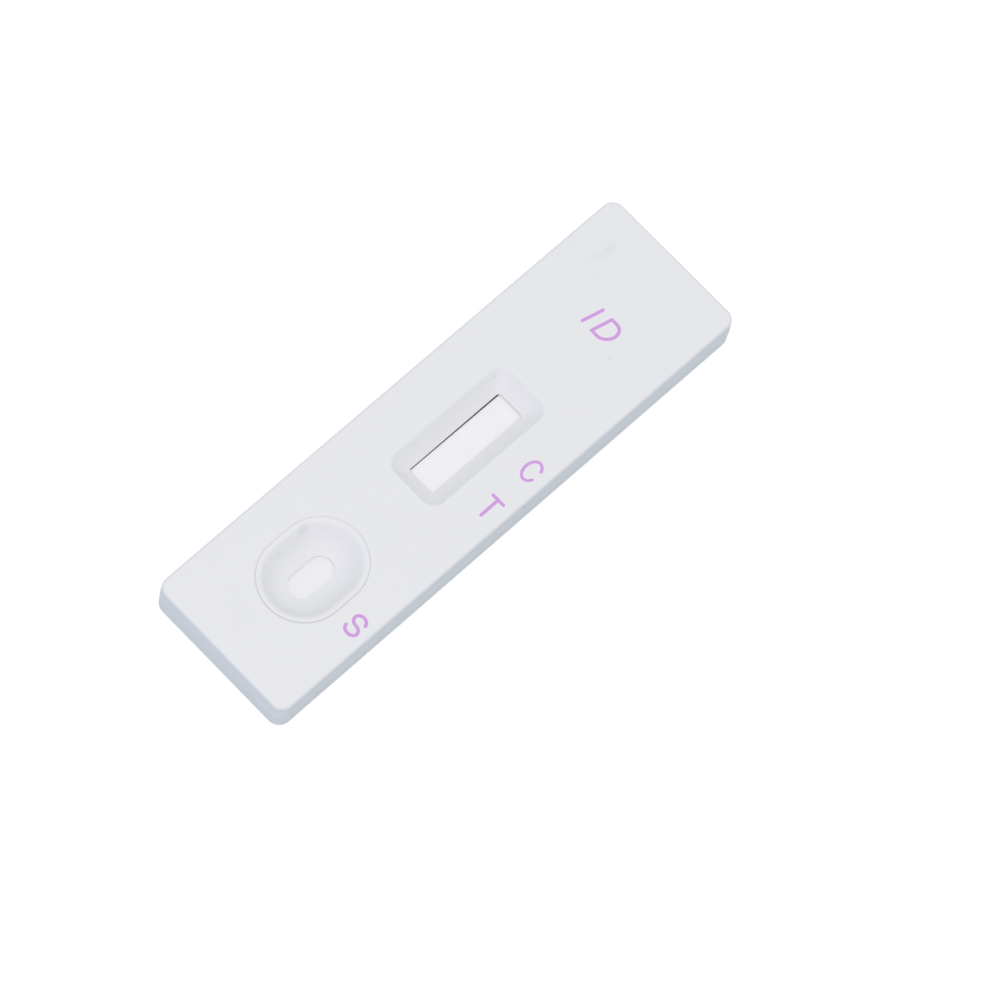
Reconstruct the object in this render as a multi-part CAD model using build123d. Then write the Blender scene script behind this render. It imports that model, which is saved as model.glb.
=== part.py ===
"""Lateral flow cassette: two moulded shells, pressed together over a layered test strip.

Millimetres. The origin is the middle of the underside, +Z is up and +X is the way the liquid flows:
the sample well is near the -X end and the result window is past the middle.
"""
from math import radians, sin, tan
import os

from build123d import *

# Case, outside
CASE_LENGTH = 70.0
CASE_WIDTH = 20.0
CASE_HEIGHT = 5.0
CORNER_RADIUS = 1.55
PARTING_HEIGHT = 2.5  # where the two shells meet, and where the case is widest
PARTING_CHAMFER = 0.06  # breaks each shell's edge there, which leaves a fine line
UPPER_DRAFT = 2.2  # degrees that the upper shell's sides lean in, away from the parting line
LOWER_DRAFT = 0.5  # and the lower shell's
TOP_EDGE_RADIUS = 0.4
BOTTOM_CHAMFER = 0.06
FOOT_INSET = 1.0  # from the case's outline to the square-cornered raised field that it stands on
FOOT_HEIGHT = 0.04

# Moulded walls
SIDE_WALL = 1.2
INNER_CORNER_RADIUS = 0.5
ROOF = 1.0
FLOOR = 1.0

# Test strip: its layers, and how it lies in the case
STRIP_WIDTH = 4.0
STRIP_END_INSET = 5.0  # from the end of the case to the end of the strip
STRIP_SHIFT = -0.2  # sideways
STRIP_TURN = -0.36  # degrees that it lies askew
BACKING_THICKNESS = 0.3
MEMBRANE_THICKNESS = 0.14
CONJUGATE_THICKNESS = 0.4
SAMPLE_PAD_THICKNESS = 0.35
ABSORBENT_THICKNESS = 0.9
MEMBRANE_LENGTH = 25.0
PAD_LAP = 2.0  # how far each layer lies over the next
LAP_RAMP = 0.6  # length over which a pad rises onto the layer below
LAP_MARGIN = 1.4  # from the conjugate pad's end to the window
RAMP_MARGIN = 0.65  # from the well's foot to where the sample pad rises onto the conjugate pad

# Sample well: concentric obrounds, each a straight run between two round ends
WELL_FROM_END = 14.1  # from the end of the case to the middle of the well
WELL_STRAIGHT = 2.85
WELL_GROOVE_RADIUS = 5.27
WELL_MOUTH_RADIUS = 4.66
WELL_EDGE_RADIUS = 0.65  # rounded upper edge of the mouth
WELL_HOLE_RADIUS = 1.63
WELL_LIP = 0.4  # height of the hole's edge over the sample pad
WELL_FLOOR_SLOPE = 17.0  # degrees, near the hole
WELL_WALL_SLOPE = 52.0  # degrees, near the mouth
WELL_TURN = 0.9  # share of the floor, or of a shorter wall, that the round turn between them takes up
WELL_WALL = 0.9
GROOVE_WIDTH = 0.17
GROOVE_DEPTH = 0.14

# Result window: an opening with walls that slope up to the top face
WINDOW_FROM_WELL = 23.53
WINDOW_LENGTH = 13.85
WINDOW_WIDTH = 3.8
WINDOW_CORNER_RADIUS = 0.4
WINDOW_DEPTH = 2.1  # from the top face to the edge of the opening
WINDOW_LIP = 0.2  # height of the opening's edge
WINDOW_GAP = 0.1  # from the opening's edge down to the membrane
WINDOW_SIDE_RUN = 1.94  # how far the sloping walls reach outwards along both sides
WINDOW_END_RUN = 2.06  # and at both ends
WINDOW_WALL = 1.25  # thickness of the sloping walls, measured level
WINDOW_HOLLOW = 0.16  # how far the slopes' middle lies behind a straight line, measured level
WINDOW_EDGE_RADIUS = 0.35  # rounded upper edge of the slopes
RECESS_CORNER_RADIUS = 1.6

# Pins of the upper shell in sockets of the lower one
PIN_DIAMETER = 1.6
PIN_CLEARANCE = 0.02
PIN_TIP_CHAMFER = 0.25
PIN_TIP_GAP = 0.2  # between the pin's tip and the bottom of its socket
PIN_ROW = 5.8  # from the middle line of the case
PIN_END_INSET = 4.5  # from the end of the case
SOCKET_WALL = 0.7

# Ribs, guides, stops and bars that hold the strip
RIB_HEIGHT = 0.4  # at the well's end, and the others rise to the window
RIB_THICKNESS = 0.8
GUIDE_HEIGHT = 0.6  # over the ribs
GUIDE_LENGTH = 1.6
GUIDE_THICKNESS = 0.8
GUIDE_CLEARANCE = 0.05
STOP_GAP = 0.2

CUT_ROOM = 1.0  # how far a cut runs on past the face that it opens

# Heights of the case
roof_under = CASE_HEIGHT - ROOF
roof_middle = CASE_HEIGHT - ROOF / 2
window_edge = CASE_HEIGHT - WINDOW_DEPTH
window_under = window_edge - WINDOW_LIP

# Heights of the strip's layers: it lies low under the well and higher under the window
low_rest = FLOOR + RIB_HEIGHT
low_card = low_rest + BACKING_THICKNESS
sample_pad_top = low_card + SAMPLE_PAD_THICKNESS
conjugate_low_top = low_card + CONJUGATE_THICKNESS
membrane_top = window_under - WINDOW_GAP
high_card = membrane_top - MEMBRANE_THICKNESS
high_rest = high_card - BACKING_THICKNESS
absorbent_top = high_card + ABSORBENT_THICKNESS

# Outside of the bowl: a cone, one wall thickness from the bowl's wall, down to a flat foot on the sample pad
well_wall_fall = tan(radians(WELL_WALL_SLOPE))
well_cone_top = WELL_MOUTH_RADIUS + WELL_WALL / sin(radians(WELL_WALL_SLOPE))
well_foot_radius = well_cone_top - (CASE_HEIGHT - sample_pad_top) / well_wall_fall

# Places along the case: the conjugate pad fills the stretch between the well and the window
well_x = WELL_FROM_END - CASE_LENGTH / 2
window_x = well_x + WINDOW_FROM_WELL
strip_end = CASE_LENGTH / 2 - STRIP_END_INSET
conjugate_start = well_x + WELL_STRAIGHT / 2 + well_foot_radius + RAMP_MARGIN + LAP_RAMP
conjugate_end = window_x - WINDOW_LENGTH / 2 - LAP_MARGIN
sample_end = conjugate_start + PAD_LAP
membrane_start = conjugate_end - PAD_LAP
membrane_end = membrane_start + MEMBRANE_LENGTH
absorbent_start = membrane_end - PAD_LAP
rise_start = sample_end
rise_end = membrane_start - LAP_RAMP

# The strip lies askew in a channel that is just wide enough for it
strip_place = Pos(0, STRIP_SHIFT, 0) * Rot(0, 0, STRIP_TURN)
strip_sway = abs(STRIP_SHIFT) + strip_end * sin(radians(abs(STRIP_TURN)))
channel_half = STRIP_WIDTH / 2 + strip_sway + GUIDE_CLEARANCE

# A bar presses on the strip over each rib: their middle along the case, the rib's top and the layers' top.
# The first stand between the strip's end and the well, the next three on the laps, and the last
# on the middle of the absorbent pad's level stretch.
well_left = well_x - WELL_STRAIGHT / 2 - WELL_GROOVE_RADIUS
holds = [
    ((well_left - strip_end) / 2, low_rest, sample_pad_top),
    (sample_end - PAD_LAP / 2, low_rest, conjugate_low_top + SAMPLE_PAD_THICKNESS),
    (conjugate_end - PAD_LAP / 2, high_rest, membrane_top + CONJUGATE_THICKNESS),
    (absorbent_start + PAD_LAP / 2, high_rest, membrane_top + ABSORBENT_THICKNESS),
    ((membrane_end + LAP_RAMP + strip_end) / 2, high_rest, absorbent_top),
]

# Pins stand in pairs: at both ends, between well and window, and as far past the window
pin_end = CASE_LENGTH / 2 - PIN_END_INSET
well_right = well_x + WELL_STRAIGHT / 2 + WELL_GROOVE_RADIUS
recess_left = window_x - WINDOW_LENGTH / 2 - WINDOW_END_RUN
pin_middle = (well_right + recess_left) / 2
pin_past_window = 2 * window_x - pin_middle
pin_places = [(x, y) for x in (-pin_end, pin_middle, pin_past_window, pin_end) for y in (-PIN_ROW, PIN_ROW)]
socket_bore = PIN_DIAMETER / 2 + PIN_CLEARANCE
socket_radius = socket_bore + SOCKET_WALL


def upright(outline, bottom, top):
    """A flat outline raised from one height to another."""
    return extrude(Pos(0, 0, bottom) * outline, amount=top - bottom)


def block(x, y, length, width, bottom, top):
    """A plain rib or bar with its middle at x, y."""
    return upright(Pos(x, y) * Rectangle(length, width), bottom, top)


def post(x, y, radius, bottom, top):
    """A plain round post with its middle at x, y."""
    return upright(Pos(x, y) * Circle(radius), bottom, top)


def case_block(height, way, draft):
    """The case's outline as a solid block, up or down from the parting line, with leaning sides."""
    outline = Pos(0, 0, PARTING_HEIGHT) * RectangleRounded(CASE_LENGTH, CASE_WIDTH, CORNER_RADIUS)
    return extrude(outline, amount=height, dir=(0, 0, way), taper=draft)


def cavity(bottom, top):
    """The hollow between the side walls."""
    length = CASE_LENGTH - 2 * SIDE_WALL
    width = CASE_WIDTH - 2 * SIDE_WALL
    return upright(RectangleRounded(length, width, INNER_CORNER_RADIUS), bottom, top)


def round_the_well(section):
    """Carries a half section, drawn out from the well's middle, round both ends and along the straight."""
    start = Rot(0, 0, -90) * (Plane.XZ * section)
    half_turn = Pos(WELL_STRAIGHT / 2, 0, 0) * revolve(start, Axis.Z, 180)
    straight_run = extrude(Pos(-WELL_STRAIGHT / 2, 0, 0) * start, amount=WELL_STRAIGHT, dir=(1, 0, 0))
    half = half_turn + straight_run
    return Pos(well_x, 0, 0) * (half + Rot(0, 0, 180) * half)


def bowl_side():
    """The bowl's side in a half section: a gently sloping floor, a round turn and a steep wall."""
    floor_fall = tan(radians(WELL_FLOOR_SLOPE))
    hole_edge = Vector(WELL_HOLE_RADIUS, sample_pad_top + WELL_LIP)
    mouth_edge = Vector(WELL_MOUTH_RADIUS, CASE_HEIGHT)
    drop = mouth_edge - hole_edge
    corner_out = (drop.X * well_wall_fall - drop.Y) / (well_wall_fall - floor_fall)
    corner = hole_edge + Vector(corner_out, corner_out * floor_fall)
    turn_run = WELL_TURN * min((corner - hole_edge).length, (mouth_edge - corner).length)
    turn_radius = turn_run / tan(radians(WELL_WALL_SLOPE - WELL_FLOOR_SLOPE) / 2)
    return FilletPolyline(hole_edge, corner, mouth_edge, radius=turn_radius)


def well_boss():
    """The bowl's outside, from its foot up into the roof."""
    section = make_face(Polyline(
        (0, sample_pad_top),
        (well_foot_radius, sample_pad_top),
        (well_cone_top - (CASE_HEIGHT - roof_middle) / well_wall_fall, roof_middle),
        (0, roof_middle),
        close=True,
    ))
    return round_the_well(section)


def well_bowl():
    """What is cut away for the bowl and its hole."""
    side = bowl_side()
    top = CASE_HEIGHT + CUT_ROOM
    bottom = sample_pad_top - CUT_ROOM
    rest = Polyline(
        side @ 1, (WELL_MOUTH_RADIUS, top), (0, top), (0, bottom), (WELL_HOLE_RADIUS, bottom), side @ 0
    )
    return round_the_well(make_face(side + rest))


def well_groove():
    """What is cut away for the fine line round the well: upright on its inner side, sloping on its outer."""
    inner = WELL_GROOVE_RADIUS - GROOVE_WIDTH / 2
    outer = WELL_GROOVE_RADIUS + GROOVE_WIDTH / 2
    top = CASE_HEIGHT + CUT_ROOM
    section = make_face(Polyline(
        (inner, top),
        (inner, CASE_HEIGHT - GROOVE_DEPTH),
        (outer, CASE_HEIGHT),
        (outer, top),
        close=True,
    ))
    return round_the_well(section)


def recess_outline(height, margin=0.0):
    """The level outline of the window's sloping walls at a height, grown by a margin."""
    rise = (height - window_edge) / WINDOW_DEPTH
    length = WINDOW_LENGTH + 2 * (WINDOW_END_RUN * rise + margin)
    width = WINDOW_WIDTH + 2 * (WINDOW_SIDE_RUN * rise + margin)
    radius = WINDOW_CORNER_RADIUS + (RECESS_CORNER_RADIUS - WINDOW_CORNER_RADIUS) * rise + margin
    return Pos(window_x, 0, height) * RectangleRounded(length, width, radius)


def window_boss():
    """The outside of the window's sloping walls, up into the roof."""
    ends = [recess_outline(height, WINDOW_WALL) for height in (window_under, roof_middle)]
    return loft(ends, ruled=True)


def window_cut():
    """What is cut away for the window: the slightly hollow slopes, and the opening's straight edge below."""
    bottom = recess_outline(window_edge)
    middle = recess_outline((window_edge + CASE_HEIGHT) / 2, WINDOW_HOLLOW)
    top = recess_outline(CASE_HEIGHT)
    slopes = loft([bottom, middle, top]) + extrude(top, amount=CUT_ROOM, dir=(0, 0, 1))
    return slopes + extrude(bottom, amount=WINDOW_LIP + CUT_ROOM, dir=(0, 0, -1))


def pin(x, y):
    """A thick root down to the parting line, and a chamfered pin that goes on into the socket."""
    root = post(x, y, socket_radius, PARTING_HEIGHT, roof_under)
    shaft = post(x, y, PIN_DIAMETER / 2, FLOOR + PIN_TIP_GAP, PARTING_HEIGHT)
    return root + chamfer(shaft.edges().group_by(Axis.Z)[0], PIN_TIP_CHAMFER)


def round_mouth(shell, radius):
    """Rounds the upper edge of the opening in the top face that is farthest along the case."""
    top_face = shell.faces().sort_by(Axis.Z)[-1]
    mouth = top_face.inner_wires().sort_by(Axis.X)[-1]
    return fillet(mouth.edges(), radius)


def upper_housing():
    """The upper shell, with well and window outside and bars and pins inside."""
    shell = case_block(CASE_HEIGHT - PARTING_HEIGHT, 1, UPPER_DRAFT)
    shell = fillet(shell.edges().group_by(Axis.Z)[-1], TOP_EDGE_RADIUS)
    shell = chamfer(shell.edges().group_by(Axis.Z)[0], PARTING_CHAMFER)
    shell -= cavity(PARTING_HEIGHT, roof_under)
    shell += [well_boss(), window_boss()]
    shell += [block(x, 0, RIB_THICKNESS, 2 * channel_half, top, roof_under) for x, rest, top in holds]
    shell += [pin(x, y) for x, y in pin_places]
    shell = round_mouth(shell - well_bowl(), WELL_EDGE_RADIUS)
    shell = round_mouth(shell - window_cut(), WINDOW_EDGE_RADIUS)
    return shell - well_groove()


def lower_housing():
    """The lower shell, with the field that it stands on, and ribs, guides, stops and sockets inside."""
    shell = case_block(PARTING_HEIGHT - FOOT_HEIGHT, -1, LOWER_DRAFT)
    shell = chamfer(shell.edges().group_by(Axis.Z)[0], BOTTOM_CHAMFER)
    shell = chamfer(shell.edges().group_by(Axis.Z)[-1], PARTING_CHAMFER)
    shell += block(0, 0, CASE_LENGTH - 2 * FOOT_INSET, CASE_WIDTH - 2 * FOOT_INSET, 0, FLOOR)
    shell -= cavity(FLOOR, PARTING_HEIGHT)
    channel = 2 * channel_half
    shell += block(well_x, 0, RIB_THICKNESS, channel, FLOOR, low_rest)
    guide_y = channel_half + GUIDE_THICKNESS / 2
    for x, rest, top in holds:
        shell += block(x, 0, RIB_THICKNESS, channel, FLOOR, rest)
        for y in (-guide_y, guide_y):
            shell += block(x, y, GUIDE_LENGTH, GUIDE_THICKNESS, FLOOR, rest + GUIDE_HEIGHT)
    stop_x = strip_end + STOP_GAP + RIB_THICKNESS / 2
    stop_width = channel + 2 * GUIDE_THICKNESS
    shell += block(-stop_x, 0, RIB_THICKNESS, stop_width, FLOOR, low_rest + GUIDE_HEIGHT)
    shell += block(stop_x, 0, RIB_THICKNESS, stop_width, FLOOR, high_rest + GUIDE_HEIGHT)
    shell += [post(x, y, socket_radius, FLOOR, PARTING_HEIGHT) for x, y in pin_places]
    return shell - [post(x, y, socket_bore, FLOOR, PARTING_HEIGHT) for x, y in pin_places]


def layer(underside, thickness):
    """A layer of the strip: its underside runs through (x, height) points, its top one thickness higher."""
    top = [(x, height + thickness) for x, height in reversed(underside)]
    section = make_face(Polyline(*underside, *top, close=True))
    return strip_place * extrude(Plane.XZ * section, amount=STRIP_WIDTH / 2, both=True)


def backing_card():
    """The card that carries the other layers, on the ribs: it rises between the well and the window."""
    underside = [
        (-strip_end, low_rest),
        (rise_start, low_rest),
        (rise_end, high_rest),
        (strip_end, high_rest),
    ]
    return layer(underside, BACKING_THICKNESS)


def membrane():
    """The membrane that shows in the window."""
    return layer([(membrane_start, high_card), (membrane_end, high_card)], MEMBRANE_THICKNESS)


def conjugate_pad():
    """The pad that follows the card's rise and goes on onto the membrane's first end."""
    underside = [
        (conjugate_start, low_card),
        (rise_start, low_card),
        (rise_end, high_card),
        (membrane_start, membrane_top),
        (conjugate_end, membrane_top),
    ]
    return layer(underside, CONJUGATE_THICKNESS)


def sample_pad():
    """The pad under the well, which rises onto the conjugate pad."""
    underside = [
        (-strip_end, low_card),
        (conjugate_start - LAP_RAMP, low_card),
        (conjugate_start, conjugate_low_top),
        (sample_end, conjugate_low_top),
    ]
    return layer(underside, SAMPLE_PAD_THICKNESS)


def absorbent_pad():
    """The thick pad that rises onto the membrane's far end."""
    underside = [
        (absorbent_start, membrane_top),
        (membrane_end, membrane_top),
        (membrane_end + LAP_RAMP, high_card),
        (strip_end, high_card),
    ]
    return layer(underside, ABSORBENT_THICKNESS)


os.makedirs("parts", exist_ok=True)
for piece in (
    upper_housing,
    lower_housing,
    backing_card,
    membrane,
    conjugate_pad,
    sample_pad,
    absorbent_pad,
):
    export_step(piece(), f"parts/{piece.__name__}.step")
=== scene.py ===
"""Lateral flow cassette: finishes, printed letters, floor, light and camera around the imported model.

Every object is in metres, in the model's own frame: +X runs from the sample well to the
result window, and +Z is up.
"""

from math import radians, tan

import bpy
import numpy as np
from mathutils import Matrix, Vector


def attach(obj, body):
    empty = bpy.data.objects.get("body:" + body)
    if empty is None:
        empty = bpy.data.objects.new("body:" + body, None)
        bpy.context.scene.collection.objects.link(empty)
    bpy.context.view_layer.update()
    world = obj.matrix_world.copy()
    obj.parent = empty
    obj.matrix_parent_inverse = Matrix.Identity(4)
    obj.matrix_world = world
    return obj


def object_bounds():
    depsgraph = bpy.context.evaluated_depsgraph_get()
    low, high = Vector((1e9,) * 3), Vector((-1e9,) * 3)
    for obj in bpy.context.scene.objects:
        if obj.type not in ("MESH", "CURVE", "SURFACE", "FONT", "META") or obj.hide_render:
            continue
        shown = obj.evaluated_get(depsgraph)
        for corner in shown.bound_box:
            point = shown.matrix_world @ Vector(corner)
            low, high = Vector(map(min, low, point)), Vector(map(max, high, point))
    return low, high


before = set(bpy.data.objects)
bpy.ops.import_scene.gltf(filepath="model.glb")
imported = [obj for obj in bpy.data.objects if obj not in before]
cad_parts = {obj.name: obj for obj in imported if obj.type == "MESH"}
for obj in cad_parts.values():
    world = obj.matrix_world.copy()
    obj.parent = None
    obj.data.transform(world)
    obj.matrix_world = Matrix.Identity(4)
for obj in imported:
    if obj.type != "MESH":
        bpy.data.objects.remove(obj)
cad_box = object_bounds()

MM = 0.001
TOP = cad_box[1][2] / MM  # level of the top face, in millimetres
WHITE = (1.0, 1.0, 1.0, 1.0)

# Camera, as the photograph was taken: its place in millimetres, and which way its picture's right
# and top point
CAMERA_PLACE = (-242.41, -149.93, 694.35)
CAMERA_RIGHT = (0.7147, -0.6909, 0.1089)
CAMERA_UP = (0.6190, 0.6973, 0.3615)
CAMERA_LENS = 244.8
CAMERA_SENSOR = 36.0
CAMERA_REACH = 20000.0  # as far as it sees, in millimetres

# Printed letters, in millimetres and degrees. A letter's place is the point at its foot that its
# strokes are measured from.
STROKE_WIDTH = 0.39
THIN_STROKE_WIDTH = 0.345
INK_HEIGHT = 0.012
INK_SUNK = 0.004  # how far the ink reaches into the grain of the plastic
INK_EDGE = 0.03  # width of the ink's sloping edge
CAP_ANGLES = np.linspace(84, 12, 7)  # steps round the end of a stroke, from its tip
S_PLACE = (-23.165, -7.835)
S_ROUND = 0.639  # half the height of each of its two bows
S_UPPER_REACH = 0.76  # half the width of the upper bow
S_LOWER_REACH = 0.815
S_START = 6  # angles on the bows at which the pen starts and ends
S_END = -178
T_PLACE = (-2.74, -7.685)
T_HEIGHT = 2.63
T_BAR_START = -0.83
T_BAR_END = 0.8
T_STEM = -0.025  # where the stem stands along the base line
C_PLACE = (3.71, -7.67)
C_MIDDLE = 1.315  # height of the bow's middle
C_BOW = (0.887, 1.335)  # half its width and half its height
C_MOUTH = 29.6  # half the angle that it leaves open
C_POINTS = 60
ID_PLACE = (21.75, 1.45)
ID_HEIGHT = 2.62
ID_SLANT = 11.5
ID_TURN = -1.7
D_STEM = 1.5  # from the stem of the I
D_STRAIGHT = 0.6  # length of the straight parts of its bow
D_ROUND = 1.2  # reach of the round part

# Traces of handling on the upper shell, and darker patches high on the bowl's far wall, in millimetres:
# where, how far they reach along, across and through the surface, how they are turned in degrees, and how
# much they take from the white
HANDLING_MARKS = [
    ((30.35, 5.70, 5.0), (1.00, 0.75, 0.5), 0, 0.070),  # rubbed spot near the far corner
    ((28.90, 5.70, 5.0), (2.40, 0.80, 0.5), -15, 0.045),  # and its tail
    ((20.85, -3.75, 5.0), (0.32, 0.16, 0.5), -60, 0.220),  # nick by the field name
    ((21.12, -4.08, 5.0), (0.30, 0.13, 0.5), -25, 0.160),
    ((-32.05, 0.57, 5.0), (0.85, 0.10, 0.5), -1, 0.075),  # hair scratches at the sample end
    ((-30.15, 0.66, 5.0), (1.10, 0.11, 0.5), -32, 0.065),
    ((-18.30, 4.20, 4.5), (0.95, 0.70, 0.9), 10, 0.140),  # darker patches high on the bowl's far wall
    ((-22.30, 4.00, 4.2), (0.60, 0.22, 0.9), -62, 0.120),
    ((10.03, 3.25, 4.4), (0.20, 0.16, 0.5), 0, 0.270),  # specks by the window and on the long side
    ((1.91, -9.95, 3.7), (0.32, 0.30, 0.55), 0, 0.330),
]
HANDLING_COLOUR = "6E737C"
HANDLING_SPECK = 0.3  # size of the fine noise that breaks the marks up
HANDLING_LEAST = 0.6  # least and most that the noise makes of a mark
HANDLING_MOST = 1.4

# Finishes: how many finer layers the noise of their patches and of their grain has
PATCH_DETAIL = 2.0
GRAIN_DETAIL = 3.0

# Stage, in millimetres
FLOOR_REACH = 4000.0
FLOOR_LEVEL = -0.01  # a hair under the case, so that the two flat faces don't coincide
LAMP_SIZE = 300.0
LAMPS = {  # each one's place, its power in watts and its colour
    "key_softbox": ((-194.0, -120.0, 556.0), 1.02, "FFF6F5"),
    "far_softbox": ((350.0, 250.0, 420.0), 0.23, "FFFFFF"),
    "end_softbox": ((-560.0, 0.0, 160.0), 0.155, "C8C4FF"),
}
DAYLIGHT_STRENGTH = 0.715
DAYLIGHT_COLOUR = "FCFFFF"
FLOOR_PAINT = "AEBECA"  # what the light meets
FLOOR_SHOWN = "D6D6D6"  # what the eye meets
FLOOR_GLOW = 0.46  # what makes the pale floor read as white


def linear(hex_colour):
    """An sRGB colour such as "E6E7EB" as linear red, green, blue and alpha."""
    srgb = np.array([int(hex_colour[i:i + 2], 16) / 255 for i in (0, 2, 4)])
    bent = np.where(srgb <= 0.04045, srgb / 12.92, ((srgb + 0.055) / 1.055) ** 2.4)
    return (*bent.tolist(), 1.0)


def add_node(tree, kind, inputs=None, **settings):
    """Adds a node. Settings are its own properties, and an input gets a value or another node's output."""
    made = tree.nodes.new(kind)
    for name, value in settings.items():
        setattr(made, name, value)
    for name, value in (inputs or {}).items():
        if isinstance(value, bpy.types.NodeSocket):
            tree.links.new(value, made.inputs[name])
        else:
            made.inputs[name].default_value = value
    return made


def new_material(name):
    """An empty node material, with its tree and its output node."""
    material = bpy.data.materials.new(name)
    material.use_nodes = True
    tree = material.node_tree
    tree.nodes.clear()
    return material, tree, add_node(tree, "ShaderNodeOutputMaterial")


def per_mm(size):
    """A noise texture's scale, for grains of a size in millimetres."""
    return 1 / (size * MM)


def handling(tree, place, clean):
    """The clean colour with the handling marks over it.

    Each mark is a spot whose strength falls evenly from its middle to its edge, and a fine noise
    breaks them up.
    """
    total = 0.0
    for middle, reach, turn, share in HANDLING_MARKS:
        spot_place = add_node(
            tree,
            "ShaderNodeMapping",
            {
                "Vector": place,
                "Location": Vector(middle) * MM,
                "Rotation": (0, 0, radians(turn)),
                "Scale": Vector(reach) * MM,
            },
            vector_type="TEXTURE",
        )
        spot = add_node(
            tree, "ShaderNodeTexGradient", {"Vector": spot_place.outputs[0]}, gradient_type="SPHERICAL"
        )
        total = add_node(
            tree, "ShaderNodeMath", {0: spot.outputs["Fac"], 1: share, 2: total}, operation="MULTIPLY_ADD"
        ).outputs[0]
    specks = add_node(
        tree,
        "ShaderNodeTexNoise",
        {"Vector": place, "Scale": per_mm(HANDLING_SPECK), "Detail": PATCH_DETAIL},
    )
    broken = add_node(
        tree,
        "ShaderNodeMapRange",
        {"Value": specks.outputs[0], "To Min": HANDLING_LEAST, "To Max": HANDLING_MOST},
    )
    amount = add_node(tree, "ShaderNodeMath", {0: total, 1: broken.outputs[0]}, operation="MULTIPLY")
    dirty = add_node(
        tree,
        "ShaderNodeMix",
        {0: amount.outputs[0], 6: clean, 7: linear(HANDLING_COLOUR)},
        data_type="RGBA",
    )
    return dirty.outputs[2]


def finish_material(name, colour, shade, grain, relief, roughness, ior, patch=8.0, handled=False):
    """A plain solid-coloured finish: broad patches between two close colours, and a fine grain in relief.

    grain and patch are sizes in millimetres, and relief is the grain's height in millimetres.
    """
    material, tree, output = new_material(name)
    place = add_node(tree, "ShaderNodeTexCoord").outputs["Object"]
    patches = add_node(
        tree, "ShaderNodeTexNoise", {"Vector": place, "Scale": per_mm(patch), "Detail": PATCH_DETAIL}
    )
    tint = add_node(
        tree,
        "ShaderNodeMix",
        {0: patches.outputs[0], 6: linear(colour), 7: linear(shade)},
        data_type="RGBA",
    ).outputs[2]
    if handled:
        tint = handling(tree, place, tint)
    grains = add_node(
        tree, "ShaderNodeTexNoise", {"Vector": place, "Scale": per_mm(grain), "Detail": GRAIN_DETAIL}
    )
    bump = add_node(
        tree, "ShaderNodeBump", {"Strength": 1.0, "Distance": relief * MM, "Height": grains.outputs[0]}
    )
    shader = add_node(
        tree,
        "ShaderNodeBsdfPrincipled",
        {"Base Color": tint, "Roughness": roughness, "IOR": ior, "Normal": bump.outputs[0]},
    )
    tree.links.new(shader.outputs[0], output.inputs["Surface"])
    return material


def moulded_polystyrene(name, handled):
    """White polystyrene from a spark-eroded mould: an even, slightly blue white with a soft highlight.

    The real grain is about 0.02 mm, too fine to show, so it is drawn at 0.25 mm.
    """
    return finish_material(
        name, "E6E7EB", "E4E5E9", grain=0.25, relief=0.0015, roughness=0.65, ior=1.59, handled=handled
    )


def vinyl_card():
    """White rolled vinyl card: smooth, faintly wavy and a little warmer than the case."""
    return finish_material(
        "vinyl_card", "EFEFEC", "EAEAE7", grain=0.4, relief=0.001, roughness=0.4, ior=1.53
    )


def nitrocellulose():
    """Cast nitrocellulose: the brightest white on the strip, quite without shine.

    The real pores are about 0.01 mm, too fine to show, so they are drawn at 0.15 mm.
    """
    return finish_material(
        "nitrocellulose", "F3F3F5", "EDEDF0", grain=0.15, relief=0.003, roughness=0.95, ior=1.5, patch=3.0
    )


def pressed_fibre():
    """Pressed cotton fibre: white, matt, with a felted surface.

    The real fibres are about 0.02 mm thick, too fine to show, so the felt is drawn at 0.12 mm.
    """
    return finish_material(
        "pressed_fibre", "F2F3F4", "E8E9EA", grain=0.12, relief=0.02, roughness=1.0, ior=1.47, patch=0.5
    )


def glass_fibre():
    """Laid glass fibre with dried red-purple reagent: a dull, uneven purple.

    The real fibres are about 0.01 mm thick, too fine to show, so the felt is drawn at 0.12 mm.
    """
    return finish_material(
        "reagent_glass_fibre",
        "A0607A",
        "8C4C68",
        grain=0.12,
        relief=0.02,
        roughness=0.9,
        ior=1.5,
        patch=0.5,
    )


def cotton_linter():
    """Thick pressed cotton linter: a soft, matt off-white.

    The real fibres are about 0.02 mm thick, too fine to show, so the felt is drawn at 0.15 mm.
    """
    return finish_material(
        "cotton_linter", "EFEFEA", "E8E8E2", grain=0.15, relief=0.025, roughness=1.0, ior=1.47, patch=0.5
    )


def printing_ink():
    """Lilac pad-printing ink: a thin film, smoother than the plastic and a little uneven in depth."""
    return finish_material(
        "printing_ink", "D5A0E4", "CB93DB", grain=0.2, relief=0.001, roughness=0.55, ior=1.5, patch=0.35
    )


def ellipse_arc(centre, radii, start, end, count=40):
    """Points on an ellipse, radii times cosine and sine, from one angle to another in degrees."""
    angle = np.radians(np.linspace(start, end, count))
    return np.stack([centre[0] + radii[0] * np.cos(angle), centre[1] + radii[1] * np.sin(angle)], 1)


def line(start, end, count=8):
    """Points on a straight line."""
    return np.linspace(start, end, count)


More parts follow.
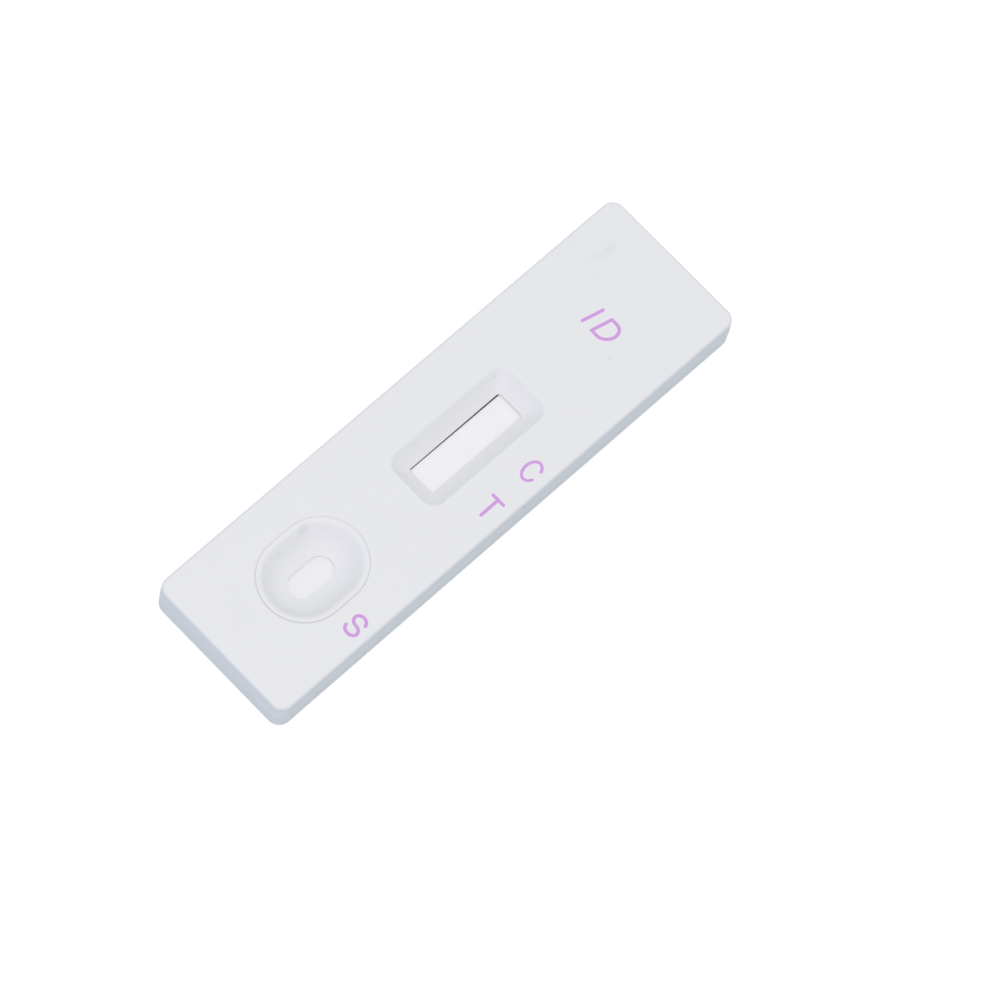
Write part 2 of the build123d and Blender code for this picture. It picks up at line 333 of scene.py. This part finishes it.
def stroke(path, width, round_start, round_end):
    """Vertices and faces of one pen stroke in millimetres, flat on a plane.

    A low profile with sloping edges is carried along the path. At a round end the stroke goes on by
    r sin(a) while its half width falls as r cos(a), for a from 0 to 84 degrees.
    """
    radius = width / 2
    along = np.gradient(path, axis=0)
    along /= np.linalg.norm(along, axis=1, keepdims=True)
    half = np.full(len(path), radius)
    turn = np.radians(CAP_ANGLES)
    if round_start:
        path = np.concatenate([path[:1] - along[:1] * (radius * np.sin(turn))[:, None], path])
        along = np.concatenate([np.repeat(along[:1], len(turn), 0), along])
        half = np.concatenate([radius * np.cos(turn), half])
    if round_end:
        path = np.concatenate([path, path[-1:] + along[-1:] * (radius * np.sin(turn[::-1]))[:, None]])
        along = np.concatenate([along, np.repeat(along[-1:], len(turn), 0)])
        half = np.concatenate([half, radius * np.cos(turn[::-1])])
    across = np.stack([-along[:, 1], along[:, 0]], 1)
    edge = np.minimum(INK_EDGE, half / 2)
    offset = np.stack([half, half, half - edge, edge - half, -half, -half], 1)
    height = np.array([-INK_SUNK, 0.0, INK_HEIGHT, INK_HEIGHT, 0.0, -INK_SUNK])
    rings, sides = offset.shape
    flat = path[:, None, :] + across[:, None, :] * offset[:, :, None]
    vertices = np.concatenate([flat, np.broadcast_to(height[None, :, None], (rings, sides, 1))], 2)
    ring, side = np.meshgrid(np.arange(rings - 1), np.arange(sides), indexing="ij")
    here = ring * sides + side
    there = ring * sides + (side + 1) % sides
    quads = np.stack([here, here + sides, there + sides, there], -1).reshape(-1, 4).tolist()
    caps = [list(range(sides)), list(range(rings * sides - 1, (rings - 1) * sides - 1, -1))]
    return vertices.reshape(-1, 3), quads + caps


def printed_letter(name, place, strokes, width=STROKE_WIDTH, slant=0.0, turn=0.0):
    """A letter lying on the top face, with its top towards +X and reading towards -Y.

    place is the point at its foot that its strokes are measured from, in millimetres. slant leans it
    forwards, by each point's height times tan(slant), and turn turns its base line, in degrees.
    """
    vertices = []
    faces = []
    for path, round_start, round_end in strokes:
        leaning = path + np.stack([path[:, 1] * tan(radians(slant)), 0 * path[:, 1]], 1)
        points, cells = stroke(leaning, width, round_start, round_end)
        base = sum(len(v) for v in vertices)
        faces += [[base + i for i in cell] for cell in cells]
        vertices.append(points)
    points = np.concatenate(vertices)
    turned = Matrix.Rotation(radians(turn - 90), 3, "Z")
    points = points @ np.array(turned).T + np.array([*place, TOP])
    mesh = bpy.data.meshes.new(name)
    mesh.from_pydata((points * MM).tolist(), [], faces)
    mesh.validate()
    mesh.materials.append(ink)
    piece = bpy.data.objects.new(name, mesh)
    bpy.context.scene.collection.objects.link(piece)
    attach(piece, "root")


def dress_nodes():
    """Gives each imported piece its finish."""
    finishes = {
        "upper_housing": moulded_polystyrene("handled_polystyrene", handled=True),
        "lower_housing": moulded_polystyrene("moulded_polystyrene", handled=False),
        "backing_card": vinyl_card(),
        "membrane": nitrocellulose(),
        "conjugate_pad": glass_fibre(),
        "sample_pad": pressed_fibre(),
        "absorbent_pad": cotton_linter(),
    }
    for name, finish in finishes.items():
        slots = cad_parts[name].data.materials
        slots.clear()
        slots.append(finish)


def print_letters():
    """S by the well, T and C by the window, and a slanting field name at the far end.

    The S is two elliptical arcs that meet half way up, and the C is one arc. The bow of the D is half
    an ellipse between two short straight lines.
    """
    s_top = ellipse_arc((0, 3 * S_ROUND), (S_UPPER_REACH, S_ROUND), S_START, 270)
    s_bottom = ellipse_arc((0, S_ROUND), (S_LOWER_REACH, S_ROUND), 90, S_END)
    printed_letter("letter_s", S_PLACE, [(np.concatenate([s_top, s_bottom[1:]]), True, True)])
    bar = (line((T_BAR_START, T_HEIGHT), (T_BAR_END, T_HEIGHT)), True, True)
    stem = (line((T_STEM, 0), (T_STEM, T_HEIGHT - STROKE_WIDTH / 2)), True, False)
    printed_letter("letter_t", T_PLACE, [bar, stem])
    bow = ellipse_arc((0, C_MIDDLE), C_BOW, C_MOUTH, 360 - C_MOUTH, C_POINTS)
    printed_letter("letter_c", C_PLACE, [(bow, True, True)], width=THIN_STROKE_WIDTH)
    stem_i = (line((0, 0), (0, ID_HEIGHT)), True, True)
    stem_d = (line((D_STEM, 0), (D_STEM, ID_HEIGHT)), True, True)
    inner = D_STEM + STROKE_WIDTH / 2
    bend = inner + D_STRAIGHT
    bow_d = np.concatenate([
        line((inner, ID_HEIGHT), (bend, ID_HEIGHT)),
        ellipse_arc((bend, ID_HEIGHT / 2), (D_ROUND, ID_HEIGHT / 2), 90, -90)[1:],
        line((bend, 0), (inner, 0))[1:],
    ])
    strokes_id = [stem_i, stem_d, (bow_d, False, False)]
    printed_letter("letters_id", ID_PLACE, strokes_id, slant=ID_SLANT, turn=ID_TURN)


def looked_at(tree):
    """1 for a ray from the camera, also by way of a shiny or clear surface, and 0 for other light."""
    rays = add_node(tree, "ShaderNodeLightPath").outputs
    shown = rays["Is Camera Ray"]
    for kind in ("Is Glossy Ray", "Is Transmission Ray"):
        shown = add_node(tree, "ShaderNodeMath", {0: shown, 1: rays[kind]}, operation="MAXIMUM").outputs[0]
    return shown


def floor():
    """A pale floor: white to look at, with the cassette's shadow on it, and a cool grey to the light."""
    material, tree, output = new_material("pale_floor")
    seen = looked_at(tree)
    paint = add_node(tree, "ShaderNodeBsdfDiffuse", {"Color": linear(FLOOR_PAINT)})
    shown = add_node(tree, "ShaderNodeBsdfDiffuse", {"Color": linear(FLOOR_SHOWN)})
    glow = add_node(tree, "ShaderNodeEmission", {"Color": WHITE, "Strength": FLOOR_GLOW})
    bright = add_node(tree, "ShaderNodeAddShader", {0: shown.outputs[0], 1: glow.outputs[0]})
    mixed = add_node(tree, "ShaderNodeMixShader", {0: seen, 1: paint.outputs[0], 2: bright.outputs[0]})
    tree.links.new(mixed.outputs[0], output.inputs["Surface"])
    reach = FLOOR_REACH * MM
    level = FLOOR_LEVEL * MM
    corners = [
        (-reach, -reach, level),
        (reach, -reach, level),
        (reach, reach, level),
        (-reach, reach, level),
    ]
    mesh = bpy.data.meshes.new("floor")
    mesh.from_pydata(corners, [], [(0, 1, 2, 3)])
    mesh.materials.append(material)
    ground = bpy.data.objects.new("floor", mesh)
    bpy.context.scene.collection.objects.link(ground)


def daylight():
    """Even light from all round, and white where one looks past the floor."""
    world = bpy.data.worlds.new("daylight")
    world.use_nodes = True
    tree = world.node_tree
    tree.nodes.clear()
    seen = looked_at(tree)
    light = add_node(
        tree,
        "ShaderNodeBackground",
        {"Color": linear(DAYLIGHT_COLOUR), "Strength": DAYLIGHT_STRENGTH},
    )
    white = add_node(tree, "ShaderNodeBackground", {"Color": WHITE, "Strength": 1.0})
    mixed = add_node(tree, "ShaderNodeMixShader", {0: seen, 1: light.outputs[0], 2: white.outputs[0]})
    output = add_node(tree, "ShaderNodeOutputWorld")
    tree.links.new(mixed.outputs[0], output.inputs["Surface"])
    bpy.context.scene.world = world


def softboxes():
    """Square soft lamps aimed at the cassette: by the camera, opposite it, and a lilac one at the end."""
    for name, (place, power, colour) in LAMPS.items():
        lamp = bpy.data.lights.new(name, "AREA")
        lamp.shape = "SQUARE"
        lamp.size = LAMP_SIZE * MM
        lamp.energy = power
        lamp.color = linear(colour)[:3]
        holder = bpy.data.objects.new(name, lamp)
        holder.location = Vector(place) * MM
        holder.rotation_euler = (-Vector(place)).to_track_quat("-Z", "Y").to_euler()
        bpy.context.scene.collection.objects.link(holder)


def camera():
    """A long lens from high on the sample end's side, turned as the photograph is."""
    lens = bpy.data.cameras.new("camera")
    lens.lens = CAMERA_LENS
    lens.sensor_width = CAMERA_SENSOR
    lens.clip_end = CAMERA_REACH * MM
    right = Vector(CAMERA_RIGHT).normalized()
    back = right.cross(Vector(CAMERA_UP)).normalized()
    up = back.cross(right)
    holder = bpy.data.objects.new("camera", lens)
    turn = Matrix((right, up, back)).transposed().to_4x4()
    holder.matrix_world = Matrix.Translation(Vector(CAMERA_PLACE) * MM) @ turn
    bpy.context.scene.collection.objects.link(holder)
    bpy.context.scene.camera = holder


ink = printing_ink()
dress_nodes()
print_letters()
floor()
daylight()
softboxes()
camera()
bpy.context.scene.view_settings.view_transform = "Standard"
